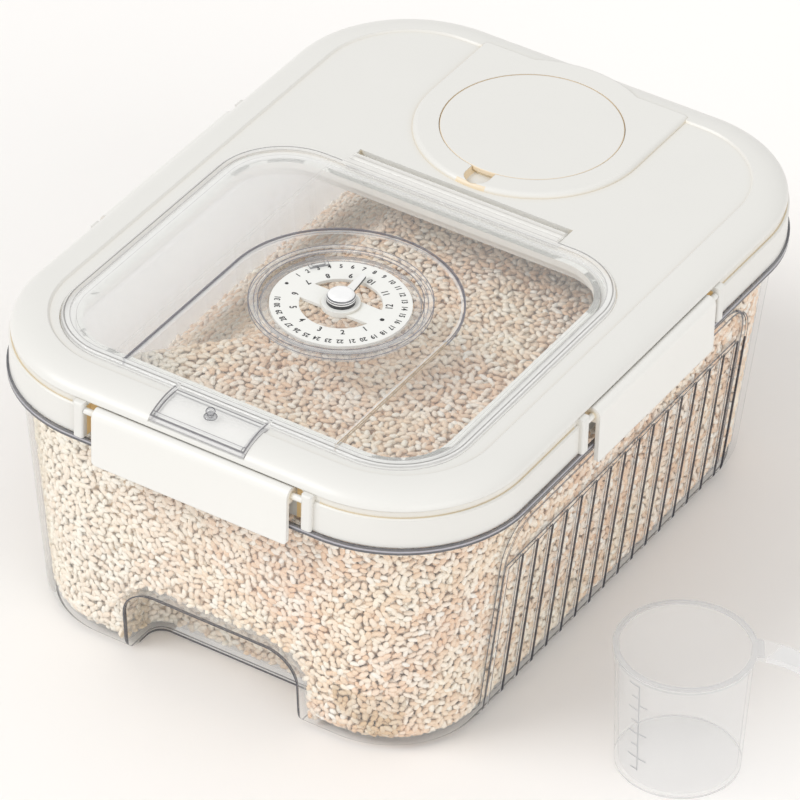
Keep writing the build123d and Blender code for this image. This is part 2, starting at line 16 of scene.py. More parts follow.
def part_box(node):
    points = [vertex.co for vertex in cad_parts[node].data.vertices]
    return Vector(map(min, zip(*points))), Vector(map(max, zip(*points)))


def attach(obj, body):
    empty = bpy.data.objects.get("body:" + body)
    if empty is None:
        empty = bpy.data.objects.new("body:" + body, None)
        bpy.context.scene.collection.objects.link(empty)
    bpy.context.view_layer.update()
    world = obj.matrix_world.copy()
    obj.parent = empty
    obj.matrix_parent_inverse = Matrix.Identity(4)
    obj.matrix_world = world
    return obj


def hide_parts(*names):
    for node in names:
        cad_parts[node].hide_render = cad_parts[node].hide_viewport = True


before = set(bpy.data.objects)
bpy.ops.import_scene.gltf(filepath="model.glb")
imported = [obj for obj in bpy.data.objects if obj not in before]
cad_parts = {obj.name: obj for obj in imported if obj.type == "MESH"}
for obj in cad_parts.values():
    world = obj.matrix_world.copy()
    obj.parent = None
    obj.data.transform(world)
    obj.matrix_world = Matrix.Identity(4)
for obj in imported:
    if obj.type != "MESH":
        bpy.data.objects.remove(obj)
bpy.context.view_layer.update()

# %% [markdown]
# The camera comes first, since everything else is judged through it. A product photograph is taken from
# far away with a long lens, so that the box hardly narrows towards the back. The three angles are turned
# into the camera's own axes: right, up and back.

# %% Camera
PHOTO_WIDTH = 800
FOCAL_PIXELS = 6161.7
AZIMUTH, ELEVATION, ROLL = math.radians(31.117), math.radians(36.931), math.radians(1.892)
back = Vector((math.sin(AZIMUTH) * math.cos(ELEVATION), -math.cos(AZIMUTH) * math.cos(ELEVATION),
               math.sin(ELEVATION)))
level_right = Vector((math.cos(AZIMUTH), math.sin(AZIMUTH), 0))
level_up = back.cross(level_right)
right = level_right * math.cos(ROLL) + level_up * math.sin(ROLL)
up = level_up * math.cos(ROLL) - level_right * math.sin(ROLL)
lens = bpy.data.cameras.new("photo_camera")
lens.sensor_width = 36
lens.lens = FOCAL_PIXELS / PHOTO_WIDTH * lens.sensor_width
lens.clip_end = 50
camera = bpy.data.objects.new("photo_camera", lens)
bpy.context.scene.collection.objects.link(camera)
turn = Matrix((right, up, back)).transposed()
camera.matrix_world = Matrix.Translation((1.21734, -2.01789, 1.84029)) @ turn.to_4x4()
bpy.context.scene.camera = camera
print("lens in mm:", round(lens.lens, 1))

# %% [markdown]
# Materials are built from nodes. Wiring them one by one hides the idea, so a value that runs between nodes
# is wrapped here, and ordinary sums on it add the Math nodes. `Recipe.node` makes any other node from its
# type, its settings and its inputs.


# %% Shader maths as plain expressions
def ink(red, green, blue):
    """A colour picked from a screen, 0 to 255, as the linear colour that a shader wants."""
    return tuple((c / 255 / 12.92) if c <= 10 else ((c / 255 + 0.055) / 1.055) ** 2.4
                 for c in (red, green, blue)) + (1,)


class Flow:
    """One value flowing between two nodes."""

    def __init__(self, recipe, socket):
        self.recipe, self.socket = recipe, socket

    def sum_of(self, operation, *terms):
        return self.recipe.node("ShaderNodeMath", {"operation": operation}, dict(enumerate(terms)))

    def __add__(self, other):
        return self.sum_of("ADD", self, other)

    def __sub__(self, other):
        return self.sum_of("SUBTRACT", self, other)

    def __rsub__(self, other):
        return self.sum_of("SUBTRACT", other, self)

    def __mul__(self, other):
        return self.sum_of("MULTIPLY", self, other)

    def __truediv__(self, other):
        return self.sum_of("DIVIDE", self, other)

    def __pow__(self, other):
        return self.sum_of("POWER", self, other)

    def __gt__(self, other):
        return self.sum_of("GREATER_THAN", self, other)

    def __lt__(self, other):
        return self.sum_of("LESS_THAN", self, other)

    def __abs__(self):
        return self.sum_of("ABSOLUTE", self)

    __radd__, __rmul__ = __add__, __mul__

    def ramp(self, low, high):
        """0 below low, 1 above high and smooth between."""
        settings = {"interpolation_type": "SMOOTHSTEP"}
        return self.recipe.node("ShaderNodeMapRange", settings, {0: self, 1: low, 2: high})

    def most(self, other):
        return self.sum_of("MAXIMUM", self, other)

    def least(self, other):
        return self.sum_of("MINIMUM", self, other)


class Recipe:
    """A material and the nodes that make it."""

    def __init__(self, name):
        self.material = bpy.data.materials.new(name)
        self.material.use_nodes = True
        self.tree = self.material.node_tree
        self.tree.nodes.clear()

    def node(self, kind, settings=None, inputs=None, out=0):
        made = self.tree.nodes.new(kind)
        for key, value in (settings or {}).items():
            setattr(made, key, value)
        for key, value in (inputs or {}).items():
            if isinstance(value, Flow):
                self.tree.links.new(value.socket, made.inputs[key])
            else:
                made.inputs[key].default_value = value
        return Flow(self, made.outputs[out])

    def place(self):
        """The surface point in the object's own coordinates, in metres."""
        return self.node("ShaderNodeTexCoord", out="Object")

    def split(self, vector):
        return [self.node("ShaderNodeSeparateXYZ", inputs={0: vector}, out=axis) for axis in range(3)]

    def spot(self):
        """The surface point's x, y and z in mm."""
        return [part * 1000 for part in self.split(self.place())]

    def facing(self):
        """The true direction that the surface faces, as three values."""
        return self.split(self.node("ShaderNodeNewGeometry", out="True Normal"))

    def noise(self, size, detail=2.0):
        """Soft blotches about as large as size, in metres."""
        inputs = {"Vector": self.place(), "Scale": 1 / size, "Detail": detail}
        return self.node("ShaderNodeTexNoise", None, inputs)

    def mix(self, share, first, second):
        """One colour turning into another."""
        return self.node("ShaderNodeMix", {"data_type": "RGBA"}, {0: share, 6: first, 7: second}, out=2)

    def edge(self):
        """0 where the surface is seen square on, 1 where it is seen edge on."""
        return self.node("ShaderNodeLayerWeight", None, {"Blend": 0.5}, out="Facing")

    def box_distance(self, across, along, centre, half, corner):
        """How far a point lies outside a rounded rectangle, in its sizes' unit. Inside it is negative."""
        side = abs(across - centre[0]) - (half[0] - corner)
        end = abs(along - centre[1]) - (half[1] - corner)
        beyond = (side.most(0) ** 2 + end.most(0) ** 2) ** 0.5
        return beyond + side.most(end).least(0) - corner

    def bump(self, height, strength, distance, normal=None):
        inputs = {"Height": height, "Strength": strength, "Distance": distance}
        if normal:
            inputs["Normal"] = normal
        return self.node("ShaderNodeBump", None, inputs)

    def finish(self, shader):
        output = self.tree.nodes.new("ShaderNodeOutputMaterial")
        self.tree.links.new(shader.socket, output.inputs["Surface"])
        return self.material


def near(value, place, half):
    """1 within half of a place and 0 elsewhere, which is the mask of a line."""
    return abs(value - place) < half


def between(value, low, high):
    """1 from low to high and 0 elsewhere."""
    return (value > low) * (value < high)


def any_of(*masks):
    """The strongest of several masks."""
    return reduce(Flow.most, masks)


def dress(node, material):
    """Put a finish on a piece in place of what it came with."""
    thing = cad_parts[node] if isinstance(node, str) else node
    thing.data.materials.clear()
    thing.data.materials.append(material)


# %% [markdown]
# The lid and clips are a satin ivory plastic. Light bounces about inside their grooves and comes out
# warmer, which an Ambient Occlusion node paints in as shade: where a surface is hemmed in, its colour leans
# to honey, a painted shade. The narrowest gaps are amber, which shade alone can't give, so painted amber
# light colours them and a faint painted glow lights them. Moulded edges are never sharp, so a Bevel node
# rounds the light on them without touching the mesh.


# %% Ivory plastic
# Places on the lid, in mm: the window's outline and pull tab, the clips' posts and ends, the cover and its
# notch. An Ambient Occlusion node looks for walls within HEMMED_WITHIN, in metres, where painted shade goes.
WINDOW_MIDDLE, WINDOW_HALF, WINDOW_CORNER = (0, -58.15), (107.6, 97.85), 38.3
TAB_HALF, TAB_SEAT = 27, -140
POST, POST_HALF, FLANK_POSTS, FRONT_POSTS = 62, 5, 128, 172
CLIP_END, CLIP_END_HALF, CLIP_HEIGHTS = 56, 3.1, (126, 152)
FRONT_GAPS, FLANK_GAPS = (168, 178.6), (122, 132.6)
COVER_Y, COVER_EDGE, COVER_GAP = 113.5, 44.9, 0.9
NOTCH_HALF, NOTCH_REACH, NOTCH_FLOOR = 8, (44, 58.5), 157
HEMMED_WITHIN = 0.004
BLACK = (0, 0, 0, 1)


def under_window(r):
    """1 where the window, its tab or a clip's post covers the lid, so that no painted warm shade gathers."""
    x, y, z = r.spot()
    window = r.box_distance(x, y, WINDOW_MIDDLE, WINDOW_HALF, WINDOW_CORNER) < 0.2
    tab = (abs(x) < TAB_HALF) * (y < TAB_SEAT)
    flank_posts = near(abs(y), POST, POST_HALF) * (abs(x) > FLANK_POSTS)
    front_posts = near(abs(x), POST, POST_HALF) * (abs(y) > FRONT_POSTS)
    return any_of(window, tab, flank_posts, front_posts)


def amber_gaps(r):
    """Painted amber light and glow, strong in the gaps at the storage cover, its finger notch and the clips'
    ends.
    """
    x, y, z = r.spot()
    nz = r.facing()[2]
    from_cover = (x * x + (y - COVER_Y) ** 2) ** 0.5
    ring = near(from_cover, COVER_EDGE, COVER_GAP) * (nz < 0.9)
    notch = (abs(x) < NOTCH_HALF) * between(from_cover, *NOTCH_REACH) * (y < COVER_Y) * (z > NOTCH_FLOOR)
    front_ends = near(abs(x), CLIP_END, CLIP_END_HALF) * between(abs(y), *FRONT_GAPS)
    flank_ends = near(abs(y), CLIP_END, CLIP_END_HALF) * between(abs(x), *FLANK_GAPS)
    ends = front_ends.most(flank_ends) * between(z, *CLIP_HEIGHTS)
    return any_of(ring * 0.3, notch * (nz < 0.93) * 0.4, ends * 0.75)


def pointer_sides(r):
    """1 on the upright sides of the pointer's arm, painted dark as shade against the white plate."""
    return abs(r.facing()[2]) < 0.5


def ivory_plastic(name, face, shade, roughness, rounding=0.0006, calm=None, painted_light_mark=None):
    """Satin plastic with painted shade in its creases, less where calm(r) is 1. The last argument is a mask,
    its colour and its glow, which paint amber light in the lid's gaps and shade on the pointer's sides.
    """
    r = Recipe(name)
    # Painted shade: where walls hem a point in, its colour leans to the shade colour.
    openness = r.node("ShaderNodeAmbientOcclusion", {"samples": 6, "only_local": True},
                      {"Distance": HEMMED_WITHIN}, out="AO")
    hemmed = (1.0 - openness).ramp(0.05, 0.65)
    if calm:
        hemmed = hemmed * (1.0 - calm(r) * 0.85)
    mottle = r.noise(0.03)
    tone = r.mix(mottle.ramp(0.3, 0.7) * 0.25, face, tuple(c * 0.97 for c in face[:3]) + (1,))
    colour = r.mix(hemmed * 0.8, tone, shade)
    glow = {}
    if painted_light_mark:
        mask, tint, brightness = painted_light_mark
        colour = r.mix(mask(r), colour, tint)
        if brightness:
            # Painted glow: the mask gives off light in its colour, though the plastic is no lamp.
            glow = {"Emission Color": r.mix(mask(r), BLACK, tint), "Emission Strength": brightness}
    rounded = r.node("ShaderNodeBevel", {"samples": 4}, {"Radius": rounding})
    skin = r.bump(r.noise(0.0009, 1.0), 0.05, 0.0002, rounded)
    inputs = {"Base Color": colour, "Roughness": roughness + mottle * 0.06, "Normal": skin,
              "Specular IOR Level": 0.45, **glow}
    return r.finish(r.node("ShaderNodeBsdfPrincipled", None, inputs))


IVORY = ink(227, 226, 222)
# Below: painted crease shade colours, painted amber light for the gaps and painted shade for the pointer's
# sides.
HONEY_SHADE, AMBER_GLOW = ink(218, 196, 150), ink(220, 184, 116)
STONE_SHADE, PAINTED_SIDE_SHADE = ink(206, 200, 186), ink(60, 60, 62)
lid_plastic = ivory_plastic("ivory_lid_plastic", IVORY, HONEY_SHADE, 0.29, calm=under_window,
                            painted_light_mark=(amber_gaps, AMBER_GLOW, 0.22))
clip_plastic = ivory_plastic("ivory_clip_plastic", ink(234, 233, 229), HONEY_SHADE, 0.3)
white_plastic = ivory_plastic("white_dial_plastic", ink(238, 238, 234), STONE_SHADE, 0.38, 0.0003)
# The pointer's upright sides are painted dark as shade.
pointer_plastic = ivory_plastic("white_pointer_plastic", ink(236, 236, 234), STONE_SHADE, 0.3, 0.0002,
                                painted_light_mark=(pointer_sides, PAINTED_SIDE_SHADE, 0))
dress("lid_shell", lid_plastic)
dress("storage_cover", lid_plastic)
dress("storage_basket", white_plastic)
for side in ("front", "right", "rear", "left"):
    dress("clip_" + side, clip_plastic)
for node in ("dial_plate", "pointer_retainer", "window_hinge_pin"):
    dress(node, white_plastic)
dress("month_pointer", pointer_plastic)
print("ivory pieces dressed")

# %% [markdown]
# Clear plastic is mostly not there: light passes straight through a thin wall. What shows is its gloss, a
# faint haze, and dark lines wherever the wall is seen edge on, because there the eye looks along the
# plastic and not through it. So the finish mixes a Transparent shader with a glossy skin, and Layer Weight
# says how edge on each point is. `layers` adds the places where steps and ribs in the wall show as lines
# from every side, each as a strength and a colour. Shadow rays pass straight through, or the rice inside
# would lie in the dark.


# %% Clear plastic
SMOKE, NAVY, GLINT = ink(30, 32, 52), ink(26, 28, 46), ink(255, 255, 255)
PASSED_ON, MOST_SOLID = (0.985, 0.985, 0.985, 1), 0.96


def clear_plastic(name, haze, haze_colour, layers=None, edge=(0.74, 0.93), smoke=SMOKE, strongest=0.85):
    r = Recipe(name)
    rim = r.edge().ramp(*edge)
    colour, share = r.mix(rim, haze_colour, smoke), rim * strongest + haze
    for strength, tint in (layers(r) if layers else []):
        colour = r.mix(strength, colour, tint)
        share = share.most(strength)
    wave = r.bump(r.noise(0.05, 1.0), 0.08, 0.002)
    skin = r.node("ShaderNodeBsdfPrincipled", None,
                  {"Base Color": colour, "Roughness": 0.06 + r.noise(0.02) * 0.05, "Normal": wave,
                   "Specular IOR Level": 0.9})
    through = r.node("ShaderNodeBsdfTransparent", None, {"Color": PASSED_ON})
    seen = r.node("ShaderNodeMixShader", None, {0: share.least(MOST_SOLID), 1: through, 2: skin})
    shadow_ray = r.node("ShaderNodeLightPath", out="Is Shadow Ray")
    return r.finish(r.node("ShaderNodeMixShader", None, {0: shadow_ray, 1: seen, 2: through}))


# Places on the tub, in mm: the ribbed flanks and their panel, the flange, the leaning front wall and the
# grips. Heights are above the floor.
RIB_PITCH, RIB_TOP, LEDGE_HALF = 13.2, 91, 106
FLANK_FROM, FLANK_HALF = 105, 113.5
PANEL_MIDDLE, PANEL_HALF, PANEL_CORNER = (0, -35.5), (111, 150), 20
FLANGE_HALF, FLANGE_CORNER, FLANGE_HEIGHTS, FLANGE_SHINE = (135, 181), 68, (131.2, 135.2), 133.5
WALL_TOP, WALL_TOP_Y, WALL_LEAN = 131.8, 174.7, 0.0928
RECESS_FROM, RECESS_HALF, RECESS_TOP, RECESS_BACK = 130, 53.5, 48.5, 152
GRIP_MIDDLE, GRIP_HALF, GRIP_CORNER = (0, -17), (48.3, 60), 17
FOOT_EDGE = 2.35


def tub_layers(r):
    """Rib steps and panel rim on the sides, the flange's edge, the two grips, and painted sheen and
    highlights.
    """
    x, y, z = r.spot()
    nx, ny, nz = r.facing()
    flank = (abs(x) > FLANK_FROM) * (abs(y) < FLANK_HALF)
    steps = flank * between(z, 4, RIB_TOP) * (abs(ny) > 0.5)
    panel = r.box_distance(y, z, PANEL_MIDDLE, PANEL_HALF, PANEL_CORNER)
    rim = flank * (abs(nx) > 0.5) * near(panel, 0, 0.65)
    ledge = flank * (abs(y) < LEDGE_HALF) * near(z, RIB_TOP, 0.7)
    phase = r.node("ShaderNodeMath", {"operation": "FRACT"}, {0: y / RIB_PITCH + 0.5})
    slats = flank * (z < RIB_TOP) * (panel < -1.5) * (abs(nx) > 0.5)
    # Painted highlight: a thin white line beside each rib's score, stronger on the right flank.
    score, slat_highlight = slats * near(phase, 0.5, 0.03), slats * near(phase, 0.43, 0.04)
    lines = any_of(steps, rim, score, ledge) * (0.12 + (x > 0) * 0.84)
    flange = between(z, *FLANGE_HEIGHTS) * (r.box_distance(x, y, (0, 0), FLANGE_HALF, FLANGE_CORNER) > -1.3)
    shine = flange * near(z, FLANGE_SHINE, 0.45)
    wall_y = WALL_TOP_Y - (WALL_TOP - z) * WALL_LEAN
    recess = (abs(y) > RECESS_FROM) * (abs(x) < RECESS_HALF) * (z < RECESS_TOP)
    recess_walls = recess * (abs(y) < wall_y - 0.4)
    mouth = recess * (abs(y) > wall_y - 1.9) * (abs(ny) < 0.7)
    grip = r.box_distance(x, z, GRIP_MIDDLE, GRIP_HALF, GRIP_CORNER)
    outline = (abs(y) > 150) * (abs(ny) > 0.5) * near(grip, 0, 0.5)
    sole = recess * (abs(y) < RECESS_BACK) * (z < 1.2) * (abs(nz) < 0.6)
    foot = near(z, FOOT_EDGE, 0.45) * (abs(nz) < 0.93)
    # Painted sheen: the inner side of the left wall and the front are painted whiter than the plastic's
    # haze.
    painted_sheen = ((x < -100) * (nx > 0.5) * 0.42).most((y < -140) * (x < 60) * 0.1)
    return [(painted_sheen, GLINT), (slat_highlight * (0.05 + (x > 0) * 0.3), GLINT),
            (recess_walls * 0.14, ink(236, 230, 218)), (lines, NAVY), (flange * 0.9, NAVY),
            (shine * 0.75, ink(190, 190, 200)),
            (mouth.most(outline) * 0.95, NAVY), (sole * 0.92, NAVY), (foot * 0.8, NAVY)]


tub_plastic = clear_plastic("clear_tub_plastic", 0.08, ink(250, 250, 250), tub_layers, (0.9, 0.985), NAVY,
                            strongest=0.92)
dress("container_body", tub_plastic)
print("tub dressed")

# %% [markdown]
# The window, the day ring and the knob are the same clear plastic. On the window the lines follow its
# outline at set depths, the dial's well and the pull tab. The outline's lines are drawn on the top side
# only, or each would show twice.


# %% Clear window, ring and knob
DIAL = Vector((0, -0.057))
DIAL_Y = DIAL.y * 1000
KNOB_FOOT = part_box("pointer_knob")[0].z * 1000
# Places on the window, in mm: the bead, the sunk tongue, the plate's height and the hinge.
BEAD, TONGUE, PLATE_FROM = 4.6, 57.5, 158
HINGE_FROM, HINGE_HALF, RIDGE_HALF_PITCH = 37, 60, 1.5
# Lines on it as place and half width, and for the border also strength.
BORDER_LINES = ((-1.75, 0.35, 0.8), (-4.45, 0.25, 0.65), (-7.4, 0.2, 0.3))
WELL, WELL_CIRCLES = (38.6, 43.2), ((43.1, 0.25), (40.6, 0.15), (38.7, 0.25))
TAB_BACK, TAB_SIDES = -157, ((25.1, 0.4), (23.7, 0.25))
TAB_ENDS = ((-177.1, 0.4), (-174.9, 0.25), (-157.6, 0.35))
RING_EDGE, MARKER_REACH, KNOB_LINES = 37.4, 33.6, ((0.9, 0.3), (2.0, 0.35))


def dial_reach(x, y):
    """Distance from the dial's axis, in mm."""
    return (x * x + (y - DIAL_Y) ** 2) ** 0.5


def lines_at(value, places):
    """1 on each line of a row of them."""
    return any_of(*[near(value, place, half) for place, half in places])


def window_layers(r):
    """The bead, the tongue's step, the dial's rings, the hinge's ridges and the pull tab, with painted
    highlights.
    """
    x, y, z = r.spot()
    nz = r.facing()[2]
    flat = abs(nz) > 0.75
    outside = 1.0 - r.node("ShaderNodeNewGeometry", out="Backfacing")
    border = r.box_distance(x, y, WINDOW_MIDDLE, WINDOW_HALF, WINDOW_CORNER)
    tab = (y < TAB_BACK) * (abs(x) < TAB_HALF)
    hinge = (y > HINGE_FROM) * (abs(x) < HINGE_HALF)
    plain = 1.0 - tab.most(hinge)
    bead = (border > -BEAD - 0.2) * plain
    inner_lines = [near(border, place, half) * share for place, half, share in BORDER_LINES]
    edges = any_of((border > -0.6) * 0.55, *inner_lines)
    reach = dial_reach(x, y)
    tongue = (x * x + (y - DIAL_Y).most(0) ** 2) ** 0.5 - TONGUE
    step = near(tongue, 0, 0.45) * (border < -BEAD)
    # Painted highlight: a bright line just inside the tongue's step.
    glow = near(tongue, -1.2, 0.5) * (border < -BEAD)
    golden = step * (x > 20) * (y < DIAL_Y)
    rings = lines_at(reach, WELL_CIRCLES) * flat
    collar = between(reach, *WELL) * flat
    ridges = r.node("ShaderNodeMath", {"operation": "PINGPONG"}, {0: y + 0.6, 1: RIDGE_HALF_PITCH}) < 0.2
    tab_lines = tab * flat * lines_at(abs(x), TAB_SIDES).most(lines_at(y, TAB_ENDS))
    tab_walls = tab * (1.0 - flat)
    # Painted glare, whiter towards the window's left.
    glare = ((-15 - x) / 75).ramp(0, 1) * (border < -BEAD - 0.2) * flat * (z > PLATE_FROM)
    dark = ink(58, 58, 80)
    # The bead, the well's collar and the pull tab are painted white, and the tab's walls paler, as
    # highlights.
    return [(glare * 0.4, GLINT), (bead * 0.42, GLINT), (collar * 0.24, GLINT), (tab * 0.3, GLINT),
            (tab_walls * 0.4, ink(236, 234, 240)), (hinge * 0.62, ink(240, 238, 233)),
            (edges * outside * (nz > 0.3) * plain, ink(96, 92, 90)), (glow * 0.4, GLINT),
            (step * 0.85, dark), (golden * 0.7, ink(190, 164, 120)), (rings * 0.85, dark),
            (hinge * ridges * flat * 0.5, ink(150, 148, 146)), (tab_lines * 0.9, ink(80, 78, 84))]


def ring_layers(r):
    """A thin dark circle near the day ring's edge, and its marker's dark upright sides."""
    x, y, z = r.spot()
    reach = dial_reach(x, y)
    upright = abs(r.facing()[2]) < 0.6
    return [(near(reach, RING_EDGE, 0.25) * 0.6, NAVY), ((reach < MARKER_REACH) * upright * 0.8, NAVY)]


def knob_layers(r):
    """Two dark lines round the knob's foot."""
    return [(lines_at(r.spot()[2] - KNOB_FOOT, KNOB_LINES) * 0.85, NAVY)]


window_plastic = clear_plastic("clear_window_plastic", 0.1, ink(244, 244, 243), window_layers, (0.9, 0.99),
                               strongest=0.5)
knob_plastic = clear_plastic("clear_knob_plastic", 0.88, ink(254, 254, 254), knob_layers, (0.75, 0.98))
ring_plastic = clear_plastic("clear_ring_plastic", 0.12, ink(240, 240, 241), ring_layers, (0.7, 0.95))
dress("flip_window", window_plastic)
dress("day_ring", ring_plastic)
dress("pointer_knob", knob_plastic)
print("window dressed")

# %% [markdown]
# The hidden seals are pale silicone, which is dull and slightly milky.


# %% Silicone
def silicone():
    r = Recipe("pale_silicone")
    cloud = r.noise(0.004)
    colour = r.mix(cloud, ink(238, 238, 234), ink(230, 230, 226))
    inputs = {"Base Color": colour, "Roughness": 0.55 + cloud * 0.1, "Normal": r.bump(cloud, 0.1, 0.0002)}
    return r.finish(r.node("ShaderNodeBsdfPrincipled", None, inputs))


for node in ("lid_gasket", "window_gasket", "storage_cover_seal"):
    dress(node, silicone())
print("hidden pieces dressed")

# %% [markdown]
# Rice is what this object is about, and it can't be a picture on a block. Real grains lie at every angle,
# some milky and some clear, with dark gaps between. So the grains have one finish, in which each grain has
# its own tone, and what shows between them has a darker one, which is painted shade.


# %% Rice finish
BROWN_TOP = 34


def rice_finish(name, gaps=False):
    r = Recipe(name)
    x, y, z = r.spot()
    patch = r.noise(0.045, 3.0)
    # Painted light: the front left of the rice is painted paler, as a pool of light.
    sunny = ((40 - x) / 120).ramp(0, 1) * (y < -100)
    # With gaps, the colour is a darker brown: painted shade between the grains.
    if gaps:
        colour = r.mix(r.noise(0.003).ramp(0.35, 0.6), ink(168, 126, 88), ink(220, 186, 148))
        colour = r.mix(sunny * 0.6, colour, ink(226, 204, 164))
    else:
        tone = r.node("ShaderNodeAttribute", {"attribute_name": "tone"}, out="Fac")
        body = r.mix(tone.ramp(0.0, 0.85), ink(240, 205, 172), ink(255, 243, 228))
        body = r.mix(tone.ramp(0.86, 0.96), body, ink(254, 249, 240))
        colour = r.mix(patch.ramp(0.4, 0.62) * 0.35, body, ink(254, 246, 222))
        colour = r.mix(sunny * 0.6, colour, ink(255, 251, 238))
    brown = (near(x, -38, 14) * (y < -140)).most(near(x, 92, 26) * (y < -150)) * (z < BROWN_TOP)
    colour = r.mix(brown * patch.ramp(0.3, 0.55) * 0.55, colour, ink(196, 164, 110))
    inputs = {"Base Color": colour, "Roughness": 0.4 + patch * 0.1, "Specular IOR Level": 0.4,
              "Normal": r.bump(r.noise(0.0008), 0.2, 0.0001)}
    return r.finish(r.node("ShaderNodeBsdfPrincipled", None, inputs))


rice_skin = rice_finish("rice_grain")
rice_gap_shade = rice_finish("rice_gap_shade", gaps=True)


# %% [markdown]
# One grain is a small ball of few faces, pulled long. The finer of the two goes where the photograph
# looks.

# %% One grain
GRAIN_LENGTH, GRAIN_WIDTH, HALF_THICKNESS = 0.0052, 0.0032, 0.36


def shaped(name, build):
    """A new object whose mesh a bmesh function fills."""
    mesh = bpy.data.meshes.new(name)
    form = bmesh.new()
    build(form)
    form.to_mesh(mesh)
    form.free()
    thing = bpy.data.objects.new(name, mesh)
    bpy.context.scene.collection.objects.link(thing)
    return thing


def grain_form(around, rings):
    """A ball with so many faces around and along, pulled long and lying down."""
    def build(form):
        bmesh.ops.create_uvsphere(form, u_segments=around, v_segments=rings, radius=1.0)
        size = (GRAIN_WIDTH * HALF_THICKNESS, GRAIN_WIDTH * 0.5, GRAIN_LENGTH * 0.5)
        bmesh.ops.scale(form, vec=size, verts=form.verts)
        bmesh.ops.rotate(form, cent=(0, 0, 0), matrix=Matrix.Rotation(math.pi / 2, 3, "Y"), verts=form.verts)
        for face in form.faces:
            face.smooth = True
    return build


fine_grain = shaped("fine_grain", grain_form(6, 4))
plain_grain = shaped("plain_grain", grain_form(5, 3))
print("faces on a grain:", len(fine_grain.data.polygons), "and", len(plain_grain.data.polygons))


# %% [markdown]
# Under the grains lies a core, which is a copy of the rice solid, shrunk a little. It takes the solid's
# place, and no gap between grains shows through to the empty tub. Its darker colour is painted shade.

# %% The core under the grains
CORE_SINK = 0.0042


def rice_copy(name, sink):
    """A merged copy of the CAD rice with its surface moved inwards."""
    def build(form):
        form.from_mesh(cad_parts["rice_fill"].data)
        bmesh.ops.remove_doubles(form, verts=form.verts, dist=0.00001)
        form.normal_update()
        moves = [(v, v.normal * -sink) for v in form.verts]
        for v, move in moves:
            v.co += move
    return shaped(name, build)


core = rice_copy("rice_core", CORE_SINK)
dress(core, rice_gap_shade)
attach(core, "tub")


# %% [markdown]
# Geometry nodes scatter the grain over the surface of the rice, with its long side lying down, and turn it
# at random. The surface is cut into areas, so that no piece grows too heavy. A second, deeper layer lies
# under the areas that show most. Each area has its own seed, so the grains fall the same way on each run.

# %% Pour the grains
TOP_GAP, LOWER_GAP, LOWER_DEPTH = 0.0026, 0.0025, 0.0016
DEEPEST, SHALLOWEST, TILT = 0.0018, 0.001, 0.2
SMALLEST, LARGEST = (0.8, 0.8, 0.85), (1.12, 1.12, 1.1)


def pour_group(template, gap, seed, deeper):
    """Nodes that scatter the grain over a surface, lay it down and turn it at random."""
    group = bpy.data.node_groups.new("pour", "GeometryNodeTree")
    group.interface.new_socket("Geometry", in_out="INPUT", socket_type="NodeSocketGeometry")
    group.interface.new_socket("Geometry", in_out="OUTPUT", socket_type="NodeSocketGeometry")

    def add(kind, settings=None, inputs=None):
        made = group.nodes.new(kind)
        for key, value in (settings or {}).items():
            setattr(made, key, value)
        for key, value in (inputs or {}).items():
            if isinstance(value, bpy.types.NodeSocket):
                group.links.new(value, made.inputs[key])
            else:
                made.inputs[key].default_value = value
        return made

    start = add("NodeGroupInput")
    spots = add("GeometryNodeDistributePointsOnFaces", {"distribute_method": "POISSON"},
                {"Mesh": start.outputs[0], "Distance Min": gap, "Density Max": 4.0 / gap ** 2, "Seed": seed})
    depth = add("FunctionNodeRandomValue", {"data_type": "FLOAT"},
                {2: -DEEPEST - deeper, 3: -SHALLOWEST - deeper, "Seed": seed + 1})
    inward = add("ShaderNodeVectorMath", {"operation": "SCALE"},
                 {0: spots.outputs["Normal"], "Scale": depth.outputs[1]})
    sunk = add("GeometryNodeSetPosition", None,
               {"Geometry": spots.outputs["Points"], "Offset": inward.outputs[0]})
    spin = add("FunctionNodeRandomValue", {"data_type": "FLOAT_VECTOR"},
               {0: (-TILT, -TILT, -math.pi), 1: (TILT, TILT, math.pi), "Seed": seed + 2})
    local = add("FunctionNodeRotateRotation", {"rotation_space": "LOCAL"},
                {0: spots.outputs["Rotation"], 1: spin.outputs[0]})
    stretch = add("FunctionNodeRandomValue", {"data_type": "FLOAT_VECTOR"},
                  {0: SMALLEST, 1: LARGEST, "Seed": seed + 3})
    one = add("GeometryNodeObjectInfo", {"transform_space": "ORIGINAL"}, {0: template, 1: True})
    laid = add("GeometryNodeInstanceOnPoints", None,
               {"Points": sunk.outputs[0], "Instance": one.outputs["Geometry"],
                "Rotation": local.outputs[0], "Scale": stretch.outputs[0]})
    tone = add("FunctionNodeRandomValue", {"data_type": "FLOAT"}, {"Seed": seed + 4})
    toned = add("GeometryNodeStoreNamedAttribute", {"data_type": "FLOAT", "domain": "INSTANCE"},
                {"Geometry": laid.outputs[0], "Name": "tone", "Value": tone.outputs[1]})
    real = add("GeometryNodeRealizeInstances", None, {0: toned.outputs[0]})
    end = add("NodeGroupOutput")
    group.links.new(real.outputs[0], end.inputs[0])
    return group


